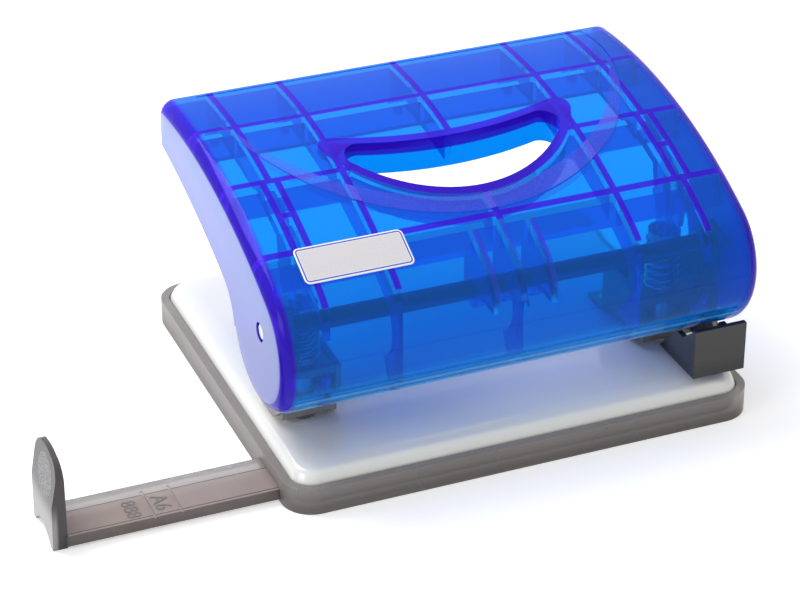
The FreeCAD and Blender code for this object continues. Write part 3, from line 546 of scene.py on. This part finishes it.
over_punch, side_rib_front = 41.0, -37.7
nose_half, nose_front, nose_middle, nose_rear = 1.5, -25.5, -16.5, -6.7
side_ribs = within(
    stripe(from_middle, over_punch, rib_half),
    union(past(y, nose_rear), before(y, nose_front)),
    past(y, side_rib_front),
)
nose_bar = within(stripe(y, nose_middle, rib_half), stripe(from_middle, over_punch, nose_half))
nose_ribs = within(
    union(
        stripe(from_middle, over_punch - nose_half, rib_half),
        stripe(from_middle, over_punch + nose_half, rib_half),
        nose_bar,
    ),
    past(y, nose_front),
    before(y, nose_rear),
)

clip_x = 6.2
outer_clip = within(
    stripe(from_middle, clip_x, 0.6),
    before(y, clip_rear - 1.0, 0.8),
    fade(tree, z, 33.0, 45.0, 0.0, 0.75),
)
middle_clip = within(
    stripe(from_middle, 0.0, 0.5),
    before(y, clip_rear, 0.8),
    fade(tree, z, 40.5, 47.0, 0.0, 0.7),
)
behind_hinge = (3.5, 22.3, 42.3)
cross_ribs = union(*[stripe(y, hinge_y + reach, rib_half) for reach in behind_hinge])

grip_corner = 3.6
grip_front_y, grip_front_radius = 10.28, 27.68
grip_rear_y, grip_rear_radius = 75.92, 78.22
past_front = at_least_zero(less(away_from(grip_front_y), grip_front_radius - grip_corner))
past_rear = at_least_zero(less(grip_rear_radius + grip_corner, away_from(grip_rear_y)))
from_hole = less(length_of(past_front, past_rear), grip_corner)
grip_wall, grip_lip_depth = 2.0, 3.05
grip_lip = within(before(from_hole, grip_wall, 0.3), before(top_depth, grip_lip_depth, 0.3))
roots = union(
    within(near_skin, union(long_ribs, side_ribs, nose_ribs, outer_clip, middle_clip)),
    within(near_top, cross_ribs),
    grip_lip,
)
end_round = fade(tree, from_middle, 48.0, 49.4)
cheek = fade(tree, from_middle, 51.30, 51.42)
rear_edge = fade(tree, y, 28.0, 33.0)

dish_front_y, dish_front_radius = 21.8, 45.9
dish_side_y, dish_side_x, dish_side_radius = 22.15, -6.4, 50.93
dish_edge = union(
    less(away_from(dish_front_y), dish_front_radius),
    less(away_from(dish_side_y, dish_side_x), dish_side_radius),
)
band_width = fade(tree, y, -24.0, 26.0, 4.6, 0.7)
band = within(
    past(z, 36.5, 1.0),
    near_top,
    before(dish_edge, -0.05, 0.2),
    fade(tree, y, 20.0, -16.0, 0.3, 1.0),
    past(maths(tree, "ADD", dish_edge, band_width), 0.0, 0.2),
)

groove_z, lip_z, lighter_z, parting_z = 23.2, 20.8, 26.65, 32.75
barrel_front = before(y, -30.5, 1.0)
# The barrel's front below lighter_z is painted a lighter blue: painted light.
painted_light_lower_front = within(barrel_front, before(z, lighter_z, 0.5))
# The lip and a band over the groove above it are painted pale cyan and made less clear: a painted
# highlight.
groove_highlight = within(stripe(z, groove_z, 0.5, 0.5), fade(tree, z, 21.2, 22.0, 0.0, 0.55))
lip_highlight = within(barrel_front, before(from_middle, 48.5, 1.0), union(groove_highlight, before(z, lip_z, 0.8)))
parting_line = within(before(y, -40.25, 0.5), stripe(z, parting_z, 0.07, 0.1))
wall = blend_colours(tree, rear_edge, (0.002, 0.27, 0.90), (0.008, 0.15, 0.82))
wall = blend_colours(tree, painted_light_lower_front, wall, (0.003, 0.40, 0.97))
wall = blend_colours(tree, lip_highlight, wall, (0.24, 0.70, 0.98))
wall = blend_colours(tree, parting_line, wall, (0.003, 0.10, 0.75))
colour = blend_colours(tree, roots, wall, (0.045, 0.008, 0.66))
colour = blend_colours(tree, end_round, colour, (0.055, 0.012, 0.74))
sparkle = grain(tree, vector, 3.2, 3.0)
frosted = blend_colours(tree, fade(tree, sparkle, 0.42, 0.66), (0.10, 0.105, 0.72), (0.145, 0.165, 0.84))
colour = blend_colours(tree, times(band, 0.8), colour, frosted)
# The cheeks are painted light lavender, lighter towards the top: a painted reflection of the white room.
painted_sheen = blend_colours(tree, fade(tree, z, 20.0, 52.0), (0.355, 0.41, 0.80), (0.43, 0.55, 0.85))
tree.links.new(blend_colours(tree, cheek, colour, painted_sheen), shader.inputs["Base Color"])
clearness = 0.80
for share, loss in ((roots, 0.45), (end_round, 0.22), (cheek, 0.25), (band, 0.20), (lip_highlight, 0.45)):
    clearness = less(clearness, times(share, loss))
tree.links.new(at_least_zero(clearness), shader.inputs["Transmission Weight"])
relief(tree, shader, within(sparkle, band), 0.03)
eased_copy("lever_handle", 0.0, "lever", blue)


# ---------------------------------------------------------------- label
# A thin film label stuck on the lever and left bare: a white outline, a narrow clear gap and a
# pale grey field, all with round corners.

label_low, label_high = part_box("label_plate")
arc_y, arc_z, arc_radius = (measure / 1000 for measure in top_arc)
film_under, film_top = 0.00002, 0.00012
label_middle_y = (label_low.y + label_high.y) / 2
label_half_y = (label_high.y - label_low.y) / 2
label_middle_x = (label_low.x + label_high.x) / 2
label_half_x = (label_high.x - label_low.x) / 2


def on_the_bow(xs, ys, lift):
    """Points over the lever's top: z is the height of the top's arc, of radius plus lift, at y."""
    radius = arc_radius + lift
    return np.stack([xs, ys, arc_z + np.sqrt(radius ** 2 - (ys - arc_y) ** 2)], axis=-1)


film, tree, shader = paint("label_film", (0.74, 0.73, 0.75), 0.28)
vector, x, y, z = place_in_mm(tree)
label_corner = 0.0011


def past_centre(value, middle, half):
    """How far, in millimetres, the point lies past the centre of the outline's round corner."""
    away = maths(tree, "ABSOLUTE", less(value, middle * 1000))
    return at_least_zero(less(away, (half - label_corner) * 1000))


def inside_label(inset):
    """1 inside the label's outline moved inwards by inset: the distance to a rounded rectangle
    is the length of what sticks out past its corner's centre, less the corner's radius."""
    dx = past_centre(x, label_middle_x, label_half_x)
    dy = past_centre(y, label_middle_y, label_half_y)
    return before(less(maths(tree, "ADD", length_of(dx, dy), inset), label_corner * 1000), 0.0, 0.06)


shade = (0.92, 0.93, 0.95)
for inset, tone in ((0.32, (0.05, 0.10, 0.55)), (0.62, (0.90, 0.90, 0.93)), (0.74, (0.70, 0.68, 0.71))):
    shade = blend_colours(tree, inside_label(inset), shade, tone)
tree.links.new(shade, shader.inputs["Base Color"])
tree.links.new(fade(tree, grain(tree, vector, 2.0), 0.3, 0.7, 0.22, 0.34), shader.inputs["Roughness"])
flat_rings = []
for inset, lift in (
    (0.004, film_under),
    (0.0, film_under),
    (0.0, film_top * 0.7),
    (0.00008, film_top),
    (0.0004, film_top),
    (0.0036, film_top),
):
    radius = max(label_corner - inset, 0.0002)
    flat_rings.append(rounded_ring(label_half_x - inset, label_half_y - inset, radius, lift, 8))
flat = np.array(flat_rings)
flat[..., 0] += label_middle_x
flat[..., 1] += label_middle_y
label = skin_mesh("label_bare", on_the_bow(flat[..., 0], flat[..., 1], flat[..., 2]), film)
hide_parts("label_plate")
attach(label, "lever")


# ---------------------------------------------------------------- handle lock and its rivet
# Glossy black catch in front of the right bracket. It slides back on a shouldered rivet, so
# that its top goes under the barrel's lip and keeps the pressed lever down.

black, tree, shader = paint("glossy_black_lock", (0.016, 0.015, 0.016), 0.2)
shader.inputs["Coat Weight"].default_value = 0.12
shader.inputs["Coat Roughness"].default_value = 0.05
vector, x, y, z = place_in_mm(tree)
# Painted shade and light: the black is painted darker towards the foot and lighter towards the top.
lock_painted_shade = blend_colours(tree, fade(tree, z, 11.5, 14.5), (0.004, 0.004, 0.004), (0.022, 0.020, 0.019))
tree.links.new(lock_painted_shade, shader.inputs["Base Color"])
relief(tree, shader, grain(tree, vector, 1.2), 0.01, 0.4)
eased_copy("handle_lock", 0.0003, "lock", black, 4)
eased_copy("lock_rivet", 0.0001, "punch_frame", bright_steel, 2)


# ---------------------------------------------------------------- paper guide
# Smoky bar that slides in the tray's tunnel, with raised paper sizes, a clear rear band and
# a dark thumb tab whose outer face has a grained oval pad.

bar_plastic, tree, shader = paint("smoky_guide_plastic", (0.33, 0.28, 0.26), 0.26)
shader.inputs["IOR"].default_value = 1.3
vector, x, y, z = place_in_mm(tree)
tab_x, pad_x = -93.95, -95.0
front_line, band_line, rear_line = -36.2, -28.65, -24.75
tab = before(x, tab_x, 0.2)
bar = fade(tree, tab, 1.0, 0.0)
clear_band = within(past(y, band_line, 0.2), bar)
long_lines = union(
    stripe(y, band_line, 0.10, 0.1),
    stripe(y, front_line, 0.13, 0.1),
    stripe(y, rear_line, 0.10, 0.1),
)
line_pairs = within(long_lines, fade(tree, z, 2.8, 2.95), bar)
pad_middle_y, pad_half_y, pad_middle_z, pad_half_z = -31.6, 4.6, 14.6, 4.3
pad_y = maths(tree, "DIVIDE", less(y, pad_middle_y), pad_half_y)
pad_z = maths(tree, "DIVIDE", less(z, pad_middle_z), pad_half_z)
from_pad = maths(tree, "ADD", times(pad_y, pad_y), times(pad_z, pad_z))
pad = within(before(from_pad, 1.0, 0.1), before(x, pad_x, 0.2))
colour = blend_colours(tree, grain(tree, vector, 0.12, 3.0), (0.44, 0.365, 0.34), (0.53, 0.445, 0.415))
colour = blend_colours(tree, clear_band, colour, (0.60, 0.575, 0.565))
colour = blend_colours(tree, line_pairs, colour, (0.13, 0.115, 0.11))
# The bar's front face is painted darker: painted shade.
colour = blend_colours(tree, before(y, -36.9, 0.1), colour, (0.20, 0.175, 0.165))
speckle = grain(tree, vector, 2.6, 3.0)
pad_colour = blend_colours(tree, fade(tree, speckle, 0.38, 0.62), (0.12, 0.12, 0.125), (0.27, 0.27, 0.275))
# The tab's lower outer face is painted lighter: painted light.
foot = within(fade(tree, z, 12.0, 5.0), fade(tree, x, -95.6, -96.4))
tab_colour = blend_colours(tree, foot, (0.085, 0.078, 0.082), (0.36, 0.35, 0.345))
tab_colour = blend_colours(tree, pad, tab_colour, pad_colour)
tree.links.new(blend_colours(tree, tab, colour, tab_colour), shader.inputs["Base Color"])
clearness = maths(tree, "ADD", times(bar, 0.45), times(clear_band, 0.15))
tree.links.new(clearness, shader.inputs["Transmission Weight"])
rough_height = times(grain(tree, vector, 3.0, 3.0), maths(tree, "ADD", pad, 0.06))
relief(tree, shader, rough_height, 0.16)
eased_copy("paper_guide", 0.00025, "guide", bar_plastic, 3)

bar_top = 0.0030
letter_height = 0.00006


def raised_word(word, size, left_x, rear_y):
    """A word standing a little proud of the bar: it runs from rear to front and its top is at
    the right."""
    text = bpy.data.curves.new("paper_size_" + word, "FONT")
    text.body = word
    text.size = size
    text.extrude = letter_height
    holder = bpy.data.objects.new("word_" + word, text)
    bpy.context.collection.objects.link(holder)
    bpy.context.view_layer.update()
    mesh = bpy.data.meshes.new_from_object(holder.evaluated_get(bpy.context.evaluated_depsgraph_get()))
    bpy.data.objects.remove(holder)
    mesh.transform(Matrix(((0, 1, 0, left_x), (-1, 0, 0, rear_y), (0, 0, 1, bar_top), (0, 0, 0, 1))))
    mesh.materials.clear()
    mesh.materials.append(letters)
    obj = bpy.data.objects.new("paper_size_" + word, mesh)
    bpy.context.collection.objects.link(obj)
    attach(obj, "guide")


letters, tree, shader = paint("moulded_letters", (0.16, 0.135, 0.125), 0.35)
vector, x, y, z = place_in_mm(tree)
letter_colour = blend_colours(tree, grain(tree, vector, 1.5), (0.12, 0.10, 0.095), (0.21, 0.18, 0.165))
tree.links.new(letter_colour, shader.inputs["Base Color"])
raised_word("A6", 0.0046, -0.0755, -0.0298)
raised_word("888", 0.0041, -0.0815, -0.0296)
